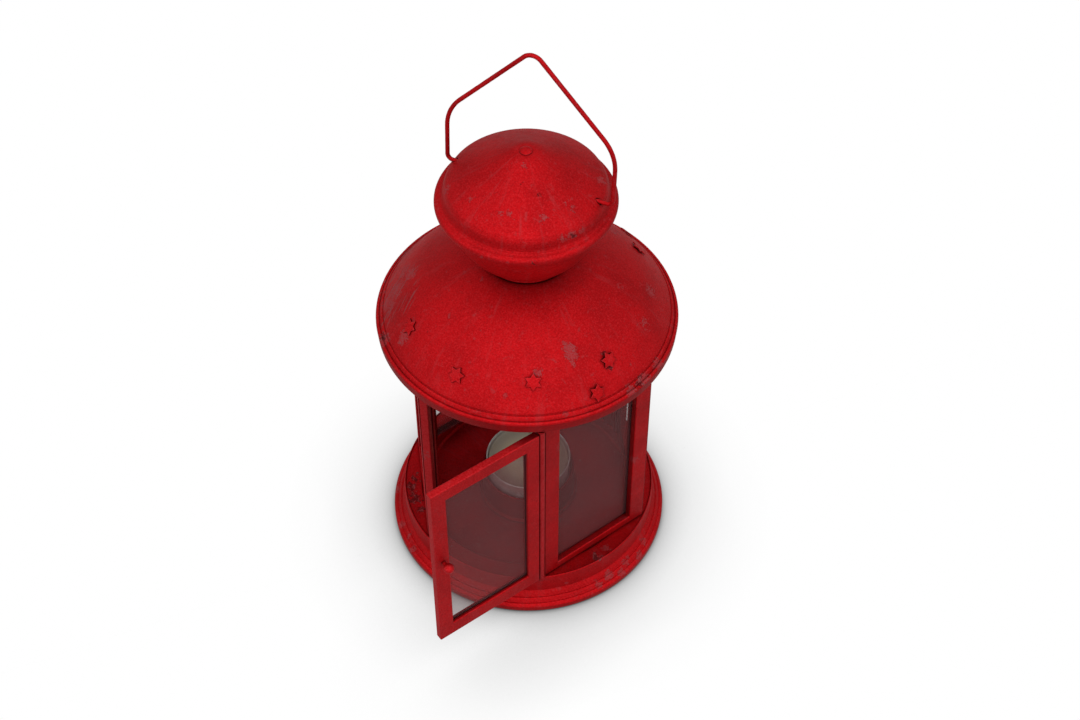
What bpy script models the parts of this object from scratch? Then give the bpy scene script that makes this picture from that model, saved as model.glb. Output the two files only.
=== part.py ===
# Hexagonal tealight lantern with an opening glazed door, a bell roof and a wire bail.
# Units in the dimension block are millimetres; meshes are written in metres, +Z up.
# The door side of the hexagon faces -Y; the bail turns about the X axis.
import math
import bpy
import bmesh
import numpy as np
from mathutils import Matrix, Vector

MM = 0.001

# ---- driving dimensions -------------------------------------------------
SEGS = 64                   # facets round the large turned pieces
SEGS_SMALL = 32             # facets round the small turned pieces

BASE_R = 60.5               # outer radius of the base tray
BASE_EDGE_Z = 2.7           # top of the base's upright outer edge
RING_R = 55.3               # outer radius of the upright ring round the body
RING_TOP_Z = 17.5
LEDGE_Z = 16.7              # level ledge that the body stands on
LEDGE_IN_R = 46.9           # inner edge of the ledge
FLOOR_Z = 11.0              # sunk floor of the tray
SHEET = 1.1                 # sheet thickness of the pressed pieces
PLATE_R = 58.6              # flat disc that closes the underside
PLATE_T = 0.9

HEX_R = 54.45               # corner radius of the hexagonal body
HEX_A = HEX_R * math.cos(math.pi / 6.0)
TAN30 = math.tan(math.pi / 6.0)
BODY_Z0 = 17.0              # underside of panels and posts
BODY_Z1 = 122.2             # top of panels and posts
PANEL_D = 3.0               # depth of a panel frame
PANEL_GAP = 0.3             # half gap between two panels at a corner
WIN_HALF = 19.6             # half width of a fixed window opening
WIN_Z0 = 21.0
WIN_Z1 = 114.5
PANE_T = 1.2
PANE_GAP = 0.2
PANE_LAP = 3.0              # how far a pane runs past its opening
POST_T = 1.0
POST_FLANGE = 4.6           # flange behind a fixed panel, which traps the pane
POST_FLANGE_DOOR = 1.3      # short flange behind a doorway post
DOORWAY_STILE = 3.7         # visible width of the posts beside the doorway
LINTEL_Z0 = 117.6

HINGE_X = 26.75             # hinge axis, upright, just outside the near corner
HINGE_Y = -49.5
DOOR_OPEN_DEG = 59.0        # how far the door stands open at rest
DOOR_T = 3.3
DOOR_BACK_Y = -(HEX_A + 0.3)
DOOR_X_FREE = -25.55
DOOR_X_HINGE = 25.05
DOOR_Z0 = 19.8
DOOR_Z1 = 116.9
DOOR_STILE_FREE = 6.7
DOOR_STILE_HINGE = 5.8
DOOR_RAIL_TOP = 6.5
DOOR_RAIL_BOTTOM = 7.4
DOOR_GLASS_SETBACK = 1.7    # from the door's outer face to its pane
DOOR_LAP = 2.4
DOOR_BEAD_T = 0.7
ROD_R = 1.45
PIN_R = 0.8
EAR_T = 1.0
EAR_R = 1.7
EAR_HOLE_R = 0.86
KNOB_R = 2.15
KNOB_STEM_R = 0.9
KNOB_REACH = 3.6            # centre of the knob's ball in front of the door
KNOB_RAISE = 4.2            # above the middle of the door

ROOF_Z0 = 122.0
ROOF_R = 60.7
NECK_R = 17.8
NECK_Z = 158.5
CROWN_Z = 122.6
CROWN_T = 1.0
CROWN_R = 58.4
VENT_R = 10.0

CAP_BEAD_R = 34.8
CAP_TOP_Z = 211.1

BAIL_Z = 196.3              # height of the bail's turning axis
BAIL_HALF = 33.3            # half distance between the bail's legs
BAIL_SHIFT = 1.2            # the wire sits a little off centre, within its end play
BAIL_WIRE_R = 0.85
BAIL_END_X = 25.8
BAIL_SHOULDER_Z = 219.6
BAIL_APEX_Z = 254.9
BAIL_BEND_LOW = 2.4
BAIL_BEND_SHOULDER = 19.0
BAIL_BEND_APEX = 4.5
BAIL_LEAN_DEG = 4.0         # leans a little towards +Y at rest
BAIL_HOLE_R = 1.15

CUP_R = 20.2                # outer radius of the candle holder
CUP_RIM_Z = 25.8
CUP_FLOOR_Z = 16.9          # floor of the candle holder's well
TEA_R = 18.2
TEA_Z0 = 17.1
TEA_H = 15.2

STAR_R = 3.6                # tip radius of a six-pointed star
STAR_T = 0.6
STAR_LIFT = 0.4
# (angle round the roof from -Y towards +X, distance from the axis, turn in plane)
STARS = [
    (-42.5, 50.0, 8.0),
    (-8.5, 51.6, 12.0),
    (25.6, 49.7, 2.0),
    (61.6, 49.6, -6.0),
    (51.6, 55.6, 14.0),
    (138.0, 49.6, 0.0),
    (154.0, 54.6, 20.0),
]

RED = (0.42, 0.012, 0.014, 1.0)


# ---- scene set-up -------------------------------------------------------
for old in list(bpy.data.objects):
    bpy.data.objects.remove(old, do_unlink=True)

collection = bpy.context.scene.collection


def make_material(name, colour, roughness, metallic, alpha=1.0):
    mat = bpy.data.materials.new(name)
    mat.use_nodes = True
    shader = mat.node_tree.nodes["Principled BSDF"]
    shader.inputs["Base Color"].default_value = colour
    shader.inputs["Roughness"].default_value = roughness
    shader.inputs["Metallic"].default_value = metallic
    shader.inputs["Alpha"].default_value = alpha
    mat.diffuse_color = (colour[0], colour[1], colour[2], alpha)
    return mat


def finish_object(name, bm, colour, roughness=0.5, metallic=0.0, alpha=1.0, smooth=False, origin=(0, 0, 0)):
    """Turn a bmesh in millimetres into a named object whose origin is at `origin`."""
    bmesh.ops.recalc_face_normals(bm, faces=bm.faces)
    shift = Matrix.Translation(-Vector(origin))
    bmesh.ops.transform(bm, matrix=Matrix.Scale(MM, 4) @ shift, verts=bm.verts)
    for face in bm.faces:
        face.smooth = smooth
    mesh = bpy.data.meshes.new(name)
    bm.to_mesh(mesh)
    bm.free()
    obj = bpy.data.objects.new(name, mesh)
    obj.location = Vector(origin) * MM
    collection.objects.link(obj)
    mesh.materials.append(make_material(name + "_mat", colour, roughness, metallic, alpha))
    return obj


# ---- mesh helpers -------------------------------------------------------
def lathe(profile, segs, centre=(0.0, 0.0), axis="Z"):
    """Turn a closed (radius, height) outline about an upright axis."""
    bm = bmesh.new()
    rings = []
    for r, z in profile:
        if r < 1e-6:
            rings.append([bm.verts.new((centre[0], centre[1], z))])
            continue
        ring = []
        for i in range(segs):
            a = 2.0 * math.pi * (i + 0.5) / segs
            ring.append(bm.verts.new((centre[0] + r * math.cos(a), centre[1] + r * math.sin(a), z)))
        rings.append(ring)
    count = len(rings)
    for k in range(count):
        a = rings[k]
        b = rings[(k + 1) % count]
        if len(a) == 1 and len(b) == 1:
            continue
        for i in range(segs):
            j = (i + 1) % segs
            if len(a) == 1:
                bm.faces.new((a[0], b[i], b[j]))
            elif len(b) == 1:
                bm.faces.new((a[i], a[j], b[0]))
            else:
                bm.faces.new((a[i], a[j], b[j], b[i]))
    return bm


def prism(points, z0, z1):
    """Upright prism on a plan outline."""
    bm = bmesh.new()
    low = [bm.verts.new((x, y, z0)) for x, y in points]
    high = [bm.verts.new((x, y, z1)) for x, y in points]
    n = len(points)
    bm.faces.new(low)
    bm.faces.new(high)
    for i in range(n):
        j = (i + 1) % n
        bm.faces.new((low[i], low[j], high[j], high[i]))
    return bm


def rounded_path(corners, radii, steps):
    """Polyline through `corners` with each inner corner rounded to its radius."""
    pts = [Vector(corners[0])]
    for k in range(1, len(corners) - 1):
        p = Vector(corners[k])
        a = (Vector(corners[k - 1]) - p).normalized()
        b = (Vector(corners[k + 1]) - p).normalized()
        half = a.angle(b) / 2.0
        reach = radii[k] / math.tan(half)
        centre = p + (a + b).normalized() * (radii[k] / math.sin(half))
        start = p + a * reach - centre
        end = p + b * reach - centre
        sweep = start.angle(end)
        turn = start.cross(end).normalized()
        count = max(2, int(round(steps * sweep / (math.pi / 2.0))))
        for i in range(count + 1):
            rot = Matrix.Rotation(sweep * i / count, 3, turn)
            pts.append(centre + rot @ start)
    pts.append(Vector(corners[-1]))
    return pts


def tube(path, radius, sides, flat_normal):
    """Round wire along a path that lies in one plane."""
    bm = bmesh.new()
    rings = []
    n = len(path)
    for k in range(n):
        ahead = path[min(k + 1, n - 1)] - path[max(k - 1, 0)]
        if 0 < k < n - 1:
            ahead = (path[k + 1] - path[k]).normalized() + (path[k] - path[k - 1]).normalized()
        ahead.normalize()
        side = Vector(flat_normal)
        up = side.cross(ahead).normalized()
        ring = []
        for i in range(sides):
            a = 2.0 * math.pi * i / sides
            ring.append(bm.verts.new(path[k] + (side * math.cos(a) + up * math.sin(a)) * radius))
        rings.append(ring)
    for k in range(n - 1):
        for i in range(sides):
            j = (i + 1) % sides
            bm.faces.new((rings[k][i], rings[k][j], rings[k + 1][j], rings[k + 1][i]))
    bm.faces.new(rings[0])
    bm.faces.new(rings[-1])
    return bm


def azimuth(deg):
    """Plan direction at an angle from -Y towards +X."""
    a = math.radians(deg)
    return Vector((math.sin(a), -math.cos(a), 0.0))


def side_frame(deg):
    """Outward normal and tangent of the hexagon side that faces azimuth `deg`."""
    n = azimuth(deg)
    t = Vector((-n.y, n.x, 0.0))
    return n, t


def framed_plate(place, outer_front, outer_back, inner_front, inner_back, d_front, d_back):
    """Flat frame with one rectangular opening. Rectangles are (u0, u1, z0, z1)."""
    bm = bmesh.new()

    def loop(rect, d):
        u0, u1, z0, z1 = rect
        return [bm.verts.new(place(u, z, d)) for u, z in ((u0, z0), (u1, z0), (u1, z1), (u0, z1))]

    of = loop(outer_front, d_front)
    ob = loop(outer_back, d_back)
    nf = loop(inner_front, d_front)
    nb = loop(inner_back, d_back)
    for i in range(4):
        j = (i + 1) % 4
        bm.faces.new((of[i], of[j], nf[j], nf[i]))
        bm.faces.new((ob[i], ob[j], nb[j], nb[i]))
        bm.faces.new((of[i], of[j], ob[j], ob[i]))
        bm.faces.new((nf[i], nf[j], nb[j], nb[i]))
    return bm


def box_plate(place, rect, d_front, d_back):
    """Plain rectangular plate in a panel's plane."""
    bm = bmesh.new()
    u0, u1, z0, z1 = rect
    front = [bm.verts.new(place(u, z, d_front)) for u, z in ((u0, z0), (u1, z0), (u1, z1), (u0, z1))]
    back = [bm.verts.new(place(u, z, d_back)) for u, z in ((u0, z0), (u1, z0), (u1, z1), (u0, z1))]
    bm.faces.new(front)
    bm.faces.new(back)
    for i in range(4):
        j = (i + 1) % 4
        bm.faces.new((front[i], front[j], back[j], back[i]))
    return bm


def interp(profile, r):
    """Height and slope of a falling (radius, height) curve at radius r."""
    for (r0, z0), (r1, z1) in zip(profile[:-1], profile[1:]):
        if min(r0, r1) <= r <= max(r0, r1):
            f = (r - r0) / (r1 - r0)
            return z0 + f * (z1 - z0), (z1 - z0) / (r1 - r0)
    raise ValueError("radius outside the curve")


# ---- base ---------------------------------------------------------------
base_outer = [
    (BASE_R - 0.3, 0.0), (BASE_R, 0.5), (BASE_R, BASE_EDGE_Z), (BASE_R - 0.45, BASE_EDGE_Z + 0.6),
    (59.2, 3.9), (58.7, 3.9), (58.2, 4.9), (57.4, 5.7), (57.0, 5.6), (56.5, 6.5), (55.9, 7.4),
    (RING_R, 8.2), (RING_R - 0.05, RING_TOP_Z - 0.5), (RING_R - 0.35, RING_TOP_Z),
    (RING_R - 0.65, RING_TOP_Z - 0.25), (RING_R - 0.7, LEDGE_Z),
    (LEDGE_IN_R + 0.5, LEDGE_Z), (LEDGE_IN_R, LEDGE_Z - 0.5), (LEDGE_IN_R - 0.6, FLOOR_Z + 0.7),
    (LEDGE_IN_R - 1.3, FLOOR_Z), (0.0, FLOOR_Z),
]
base_inner = [
    (0.0, FLOOR_Z - SHEET), (LEDGE_IN_R - 0.9, FLOOR_Z - SHEET), (LEDGE_IN_R + 0.6, FLOOR_Z + 0.4),
    (LEDGE_IN_R + 1.2, LEDGE_Z - SHEET), (RING_R - SHEET, LEDGE_Z - SHEET),
    (RING_R - SHEET, 7.6), (56.6, 4.6), (BASE_R - SHEET - 0.1, 2.6), (BASE_R - SHEET - 0.1, 0.0),
]
finish_object("base_tray", lathe(base_outer + base_inner, SEGS), RED, smooth=True)

plate_profile = [(0.0, 0.0), (PLATE_R, 0.0), (PLATE_R, PLATE_T), (0.0, PLATE_T)]
finish_object("base_plate", lathe(plate_profile, SEGS), (0.16, 0.02, 0.02, 1.0), 0.6)

# ---- candle holder and tealight ----------------------------------------
cup_profile = [
    (0.0, FLOOR_Z + 0.2), (CUP_R + 1.6, FLOOR_Z + 0.2), (CUP_R + 1.5, FLOOR_Z + 0.7),
    (CUP_R + 0.5, FLOOR_Z + 1.2), (CUP_R + 0.1, FLOOR_Z + 2.2), (CUP_R, CUP_RIM_Z - 0.6),
    (CUP_R - 0.3, CUP_RIM_Z), (CUP_R - 0.8, CUP_RIM_Z), (CUP_R - 1.1, CUP_RIM_Z - 0.5),
    (CUP_R - 1.1, CUP_FLOOR_Z), (0.0, CUP_FLOOR_Z),
]
finish_object("candle_cup", lathe(cup_profile, 48), RED, smooth=True)

TEA_ORIGIN = (0.0, 0.0, TEA_Z0)
tea_top = TEA_Z0 + TEA_H
tea_profile = [
    (0.0, TEA_Z0), (TEA_R - 0.7, TEA_Z0), (TEA_R - 0.2, TEA_Z0 + 0.5), (TEA_R, tea_top - 0.6),
    (TEA_R + 0.35, tea_top - 0.3), (TEA_R + 0.2, tea_top), (TEA_R - 0.35, tea_top),
    (TEA_R - 0.55, TEA_Z0 + 0.8), (0.0, TEA_Z0 + 0.8),
]
finish_object("tealight_cup", lathe(tea_profile, 48), (0.55, 0.55, 0.55, 1.0), 0.35, 1.0, smooth=True, origin=TEA_ORIGIN)
wax_r = TEA_R - 0.75
wax_profile = [
    (0.0, TEA_Z0 + 1.0), (wax_r, TEA_Z0 + 1.0), (wax_r, tea_top - 1.6), (wax_r - 1.2, tea_top - 2.0),
    (0.0, tea_top - 2.2),
]
finish_object("tealight_wax", lathe(wax_profile, 48), (0.85, 0.80, 0.62, 1.0), 0.45, smooth=True, origin=TEA_ORIGIN)
wick_base = tea_top - 2.0
wick_profile = [(0.0, wick_base), (0.65, wick_base), (0.6, wick_base + 4.6), (0.0, wick_base + 5.0)]
finish_object("tealight_wick", lathe(wick_profile, 10), (0.08, 0.07, 0.06, 1.0), 0.9, origin=TEA_ORIGIN)


# ---- hexagonal body -----------------------------------------------------
def panel_place(deg):
    n, t = side_frame(deg)

    def place(u, z, depth):
        p = n * (HEX_A - depth) + t * u
        return (p.x, p.y, z)

    return place


PANEL_SIDES = [60.0, 120.0, 180.0, 240.0, 300.0]
half_front = HEX_A * TAN30 - PANEL_GAP
half_back = (HEX_A - PANEL_D) * TAN30 - PANEL_GAP
for number, side in enumerate(PANEL_SIDES, start=1):
    place = panel_place(side)
    opening = (-WIN_HALF, WIN_HALF, WIN_Z0, WIN_Z1)
    frame_bm = framed_plate(
        place,
        (-half_front, half_front, BODY_Z0, BODY_Z1), (-half_back, half_back, BODY_Z0, BODY_Z1),
        opening, opening, 0.0, PANEL_D,
    )
    finish_object("panel_frame_%d" % number, frame_bm, RED)
    glass = (-WIN_HALF - PANE_LAP, WIN_HALF + PANE_LAP, WIN_Z0 - PANE_LAP, WIN_Z1 + PANE_LAP)
    pane_bm = box_plate(place, glass, PANEL_D + PANE_GAP, PANEL_D + PANE_GAP + PANE_T)
    finish_object("pane_%d" % number, pane_bm, (0.5, 0.5, 0.5, 1.0), 0.1, 0.0, 0.35)

post_front = PANEL_D + PANE_T + 2.0 * PANE_GAP
post_back = post_front + POST_T
for number in range(6):
    corner = 30.0 + 60.0 * number
    n1, t1 = side_frame(corner - 30.0)
    n2, t2 = side_frame(corner + 30.0)
    far = (HEX_A - post_front) * TAN30
    near = (HEX_A - post_back) * TAN30
    reach1 = far - (POST_FLANGE_DOOR if number == 0 else POST_FLANGE)
    reach2 = far - (POST_FLANGE_DOOR if number == 5 else POST_FLANGE)
    outline = [
        n1 * (HEX_A - post_front) + t1 * reach1,
        n1 * (HEX_A - post_front) + t1 * far,
        n2 * (HEX_A - post_front) - t2 * reach2,
        n2 * (HEX_A - post_back) - t2 * reach2,
        n1 * (HEX_A - post_back) + t1 * near,
        n1 * (HEX_A - post_back) + t1 * reach1,
    ]
    post_bm = prism([(p.x, p.y) for p in outline], BODY_Z0, BODY_Z1)
    finish_object("corner_post_%d" % (number + 1), post_bm, RED)

door_side_n, door_side_t = side_frame(0.0)
stile_in = half_front - DOORWAY_STILE
for name, sign in (("doorway_post_left", -1.0), ("doorway_post_right", 1.0)):
    outline = [
        (sign * half_front, -HEX_A), (sign * stile_in, -HEX_A),
        (sign * stile_in, -HEX_A + PANEL_D), (sign * half_back, -HEX_A + PANEL_D),
    ]
    finish_object(name, prism(outline, BODY_Z0, BODY_Z1), RED)
lintel_half = stile_in - 0.2
lintel_outline = [
    (-lintel_half, -HEX_A), (lintel_half, -HEX_A),
    (lintel_half, -HEX_A + PANEL_D), (-lintel_half, -HEX_A + PANEL_D),
]
finish_object("doorway_lintel", prism(lintel_outline, LINTEL_Z0, BODY_Z1), RED)

crown_profile = [
    (VENT_R, CROWN_Z), (CROWN_R, CROWN_Z), (CROWN_R, CROWN_Z + CROWN_T), (VENT_R, CROWN_Z + CROWN_T),
]
finish_object("crown_plate", lathe(crown_profile, SEGS), RED)


# ---- door ---------------------------------------------------------------
HINGE = Vector((HINGE_X, HINGE_Y, 0.0))
DOOR_ORIGIN = Vector((HINGE_X, HINGE_Y, DOOR_Z0))
open_turn = (
    Matrix.Translation(HINGE)
    @ Matrix.Rotation(math.radians(DOOR_OPEN_DEG), 4, "Z")
    @ Matrix.Translation(-HINGE)
)


def swing_open(bm):
    bmesh.ops.transform(bm, matrix=open_turn, verts=bm.verts)
    return bm


def door_place(u, z, depth):
    return (u, DOOR_BACK_Y - DOOR_T + depth, z)


glass_x0 = DOOR_X_FREE + DOOR_STILE_FREE
glass_x1 = DOOR_X_HINGE - DOOR_STILE_HINGE
glass_z0 = DOOR_Z0 + DOOR_RAIL_BOTTOM
glass_z1 = DOOR_Z1 - DOOR_RAIL_TOP


def door_frame_mesh():
    """Front face, glazing rebate and back face of the door as one closed frame."""
    bm = bmesh.new()
    lap = DOOR_LAP + 0.2
    rects = [
        ((DOOR_X_FREE, DOOR_X_HINGE, DOOR_Z0, DOOR_Z1), DOOR_T),
        ((DOOR_X_FREE, DOOR_X_HINGE, DOOR_Z0, DOOR_Z1), 0.0),
        ((glass_x0, glass_x1, glass_z0, glass_z1), 0.0),
        ((glass_x0, glass_x1, glass_z0, glass_z1), DOOR_GLASS_SETBACK),
        ((glass_x0 - lap, glass_x1 + lap, glass_z0 - lap, glass_z1 + lap), DOOR_GLASS_SETBACK),
        ((glass_x0 - lap, glass_x1 + lap, glass_z0 - lap, glass_z1 + lap), DOOR_T),
    ]
    loops = []
    for (u0, u1, z0, z1), d in rects:
        loops.append([bm.verts.new(door_place(u, z, d)) for u, z in ((u0, z0), (u1, z0), (u1, z1), (u0, z1))])
    count = len(loops)
    for k in range(count):
        a = loops[k]
        b = loops[(k + 1) % count]
        for i in range(4):
            j = (i + 1) % 4
            bm.faces.new((a[i], a[j], b[j], b[i]))
    return bm


finish_object("door_frame", swing_open(door_frame_mesh()), RED, origin=DOOR_ORIGIN)

pane_rect = (glass_x0 - DOOR_LAP, glass_x1 + DOOR_LAP, glass_z0 - DOOR_LAP, glass_z1 + DOOR_LAP)
pane_front = DOOR_GLASS_SETBACK + 0.1
pane_back = pane_front + 0.7
finish_object(
    "door_pane", swing_open(box_plate(door_place, pane_rect, pane_front, pane_back)),
    (0.5, 0.5, 0.5, 1.0), 0.1, 0.0, 0.35, origin=DOOR_ORIGIN,
)
bead_out = pane_rect
bead_in = (glass_x0 - 0.2, glass_x1 + 0.2, glass_z0 - 0.2, glass_z1 + 0.2)
bead_bm = framed_plate(door_place, bead_out, bead_out, bead_in, bead_in, pane_back + 0.1, pane_back + 0.1 + DOOR_BEAD_T)
finish_object("door_pane_bead", swing_open(bead_bm), RED, origin=DOOR_ORIGIN)

rod_low = DOOR_Z0 - 2.0
rod_high = DOOR_Z1 + 2.0
rod_profile = [
    (0.0, rod_low), (PIN_R, rod_low), (PIN_R, DOOR_Z0), (ROD_R, DOOR_Z0), (ROD_R, DOOR_Z1),
    (PIN_R, DOOR_Z1), (PIN_R, rod_high), (0.0, rod_high),
]
rod_bm = lathe(rod_profile, 24, (HINGE_X, HINGE_Y))
finish_object("door_hinge_rod", rod_bm, RED, smooth=True, origin=DOOR_ORIGIN)

knob_x = DOOR_X_FREE + DOOR_STILE_FREE - 2.9
knob_z = 0.5 * (DOOR_Z0 + DOOR_Z1) + KNOB_RAISE
stem_start = 0.15
knob_profile = [(0.0, stem_start), (KNOB_STEM_R, stem_start)]
start_angle = math.pi - math.asin(KNOB_STEM_R / KNOB_R)
for step in range(9):
    angle = start_angle * (1.0 - step / 8.0)
    knob_profile.append((KNOB_R * math.sin(angle), KNOB_REACH + KNOB_R * math.cos(angle)))
knob_profile[-1] = (0.0, KNOB_REACH + KNOB_R)
knob_bm = lathe(knob_profile, 20)
face_y = DOOR_BACK_Y - DOOR_T
lay = Matrix.Translation((knob_x, face_y, knob_z)) @ Matrix.Rotation(math.radians(90.0), 4, "X")
bmesh.ops.transform(knob_bm, matrix=lay, verts=knob_bm.verts)
finish_object("door_knob", swing_open(knob_bm), RED, smooth=True, origin=DOOR_ORIGIN)


def hinge_ear(name, z0):
    """Small plate with an eye for the hinge pin, fixed to the post beside the doorway."""
    bm = bmesh.new()
    back_y = -HEX_A - 0.15 - HINGE_Y
    loops = {"out": [], "eye": []}
    count = 28
    for i in range(count):
        a = 2.0 * math.pi * (i + 0.5) / count
        direction = Vector((math.cos(a), math.sin(a)))
        reach = EAR_R
        if direction.y > 0.25:
            reach = min(back_y / direction.y, EAR_R * 1.25)
        loops["out"].append(direction * reach)
        loops["eye"].append(direction * EAR_HOLE_R)
    rings = []
    for key, z in (("out", z0), ("out", z0 + EAR_T), ("eye", z0 + EAR_T), ("eye", z0)):
        rings.append([bm.verts.new((HINGE_X + p.x, HINGE_Y + p.y, z)) for p in loops[key]])
    for k in range(4):
        a = rings[k]
        b = rings[(k + 1) % 4]
        for i in range(count):
            j = (i + 1) % count
            bm.faces.new((a[i], a[j], b[j], b[i]))
    finish_object(name, bm, RED)


hinge_ear("hinge_ear_lower", DOOR_Z0 - 0.2 - EAR_T)
hinge_ear("hinge_ear_upper", DOOR_Z1 + 0.2)

# ---- roof ---------------------------------------------------------------
roof_curve = [
    (57.4, 129.1), (56.4, 130.6), (54.4, 133.2), (52.2, 136.0), (49.4, 139.2), (45.6, 142.8),
    (41.0, 146.3), (35.6, 149.8), (29.6, 153.2), (24.0, 155.9), (NECK_R, NECK_Z),
]
roof_rim = [
    (ROOF_R - 0.9, ROOF_Z0), (ROOF_R - 0.35, ROOF_Z0), (ROOF_R - 0.1, 125.2), (ROOF_R, 126.1),
    (ROOF_R - 0.25, 126.8), (ROOF_R - 0.8, 127.15), (ROOF_R - 1.25, 127.05), (ROOF_R - 1.55, 126.6),
    (ROOF_R - 1.8, 127.4), (ROOF_R - 2.3, 128.2), (ROOF_R - 2.8, 128.4), (ROOF_R - 3.1, 128.1),
    (ROOF_R - 3.2, 128.6),
]
roof_inner = [
    (NECK_R - 0.3, NECK_Z - SHEET), (29.2, 151.9), (40.3, 145.0), (48.6, 138.1), (53.4, 132.2),
    (56.6, 127.6), (ROOF_R - 1.5, 125.0), (ROOF_R - 1.35, ROOF_Z0),
]
neck_lip = [(NECK_R - 0.9, NECK_Z + 0.2), (NECK_R - 0.9, NECK_Z - SHEET + 0.1)]
roof_profile = roof_rim + roof_curve + neck_lip + roof_inner[1:]
finish_object("roof_bell", lathe(roof_profile, SEGS), RED, smooth=True)

for number, (angle, radius, spin) in enumerate(STARS, start=1):
    height, slope = interp(roof_curve, radius)
    out = azimuth(angle)
    along = Vector((-out.y, out.x, 0.0))
    normal = Vector((-slope * out.x, -slope * out.y, 1.0)).normalized()
    uphill = normal.cross(along).normalized()
    centre = Vector((out.x * radius, out.y * radius, height)) + normal * STAR_LIFT
    star_bm = bmesh.new()
    low = []
    high = []
    for i in range(12):
        a = math.radians(30.0 * i + spin)
        tip = STAR_R if i % 2 == 0 else STAR_R / math.sqrt(3.0)
        p = centre + uphill * (tip * math.cos(a)) + along * (tip * math.sin(a))
        low.append(star_bm.verts.new(p))
        high.append(star_bm.verts.new(p + normal * STAR_T))
    star_bm.faces.new(low)
    star_bm.faces.new(high)
    for i in range(12):
        j = (i + 1) % 12
        star_bm.faces.new((low[i], low[j], high[j], high[i]))
    finish_object("roof_star_%d" % number, star_bm, RED)

# ---- chimney bowl and cap ----------------------------------------------
bowl_outer = [
    (14.6, 154.0), (14.6, 159.1), (16.4, 158.9), (17.2, 159.1), (17.4, 159.6), (17.2, 160.1),
    (18.7, 161.5), (22.0, 165.0), (25.4, 169.6), (28.3, 174.8), (30.4, 179.6), (31.8, 184.1),
]
bowl_inner = [
    (30.7, 184.3), (29.3, 179.9), (27.2, 175.2), (24.4, 170.2), (21.2, 165.9), (17.9, 162.3),
    (13.6, 160.6), (13.6, 154.0),
]
finish_object("chimney_bowl", lathe(bowl_outer + bowl_inner, SEGS), RED, smooth=True)

cap_outer = [
    (32.2, 184.5), (33.3, 184.9), (34.3, 185.8), (CAP_BEAD_R, 187.1), (34.5, 188.3), (33.7, 189.0),
    (32.6, 189.3), (31.8, 189.9), (31.4, 191.0), (31.2, 192.4), (30.9, 193.9), (30.0, 195.6), (28.4, 197.0),
    (26.0, 198.6), (22.6, 200.8), (19.1, 202.9), (15.6, 204.9), (12.2, 206.9), (9.0, 208.7), (6.4, 210.1),
    (4.6, 210.8), (3.0, 211.05), (0.0, CAP_TOP_Z),
]
cap_inner = [
    (0.0, CAP_TOP_Z - SHEET), (4.2, 209.7), (8.4, 207.7), (15.0, 203.9), (22.0, 199.8), (28.8, 194.8),
    (30.2, 192.2), (30.4, 190.2), (31.2, 188.6), (32.9, 187.9), (33.4, 187.1), (32.9, 186.2),
    (31.6, 185.2),
]
cap = finish_object("cap_lid", lathe(cap_outer + cap_inner, SEGS), RED, smooth=True)
hole_bm = bmesh.new()
turn = Matrix.Translation((0.0, 0.0, BAIL_Z)) @ Matrix.Rotation(math.radians(90.0), 4, "Y")
bmesh.ops.create_cone(
    hole_bm, cap_ends=True, segments=20, radius1=BAIL_HOLE_R, radius2=BAIL_HOLE_R, depth=80.0, matrix=turn,
)
cutter = finish_object("bail_hole_cutter", hole_bm, RED)
cutter.hide_render = True
cutter.display_type = "WIRE"
drill = cap.modifiers.new("bail_holes", "BOOLEAN")
drill.object = cutter
drill.operation = "DIFFERENCE"
drill.solver = "EXACT"

rivet_profile = [
    (0.0, CAP_TOP_Z + 0.2), (2.3, CAP_TOP_Z + 0.2), (2.2, CAP_TOP_Z + 0.5), (1.5, CAP_TOP_Z + 0.9),
    (0.0, CAP_TOP_Z + 1.05),
]
finish_object("cap_rivet", lathe(rivet_profile, 20), RED, smooth=True)

# ---- bail ---------------------------------------------------------------
bail_corners = [
    (BAIL_SHIFT - BAIL_END_X, 0.0, BAIL_Z),
    (BAIL_SHIFT - BAIL_HALF, 0.0, BAIL_Z),
    (BAIL_SHIFT - BAIL_HALF, 0.0, BAIL_SHOULDER_Z),
    (BAIL_SHIFT, 0.0, BAIL_APEX_Z),
    (BAIL_SHIFT + BAIL_HALF, 0.0, BAIL_SHOULDER_Z),
    (BAIL_SHIFT + BAIL_HALF, 0.0, BAIL_Z),
    (BAIL_SHIFT + BAIL_END_X, 0.0, BAIL_Z),
]
bail_radii = [0.0, BAIL_BEND_LOW, BAIL_BEND_SHOULDER, BAIL_BEND_APEX, BAIL_BEND_SHOULDER, BAIL_BEND_LOW, 0.0]
bail_bm = tube(rounded_path(bail_corners, bail_radii, 7), BAIL_WIRE_R, 12, (0.0, 1.0, 0.0))
BAIL_ORIGIN = Vector((0.0, 0.0, BAIL_Z))
lean = (
    Matrix.Translation(BAIL_ORIGIN)
    @ Matrix.Rotation(math.radians(-BAIL_LEAN_DEG), 4, "X")
    @ Matrix.Translation(-BAIL_ORIGIN)
)
bmesh.ops.transform(bail_bm, matrix=lean, verts=bail_bm.verts)
finish_object("bail_wire", bail_bm, RED, 0.4, smooth=True, origin=BAIL_ORIGIN)
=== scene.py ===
# Looks of the six-sided red tealight lantern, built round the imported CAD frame.
# Shapes are in millimetres in the tables below and in metres in the meshes; +Z is up,
# the doorway faces -Y and the bail turns about X, as in the CAD.
import math
import random

import bmesh
import bpy
from mathutils import Matrix, Vector


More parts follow.
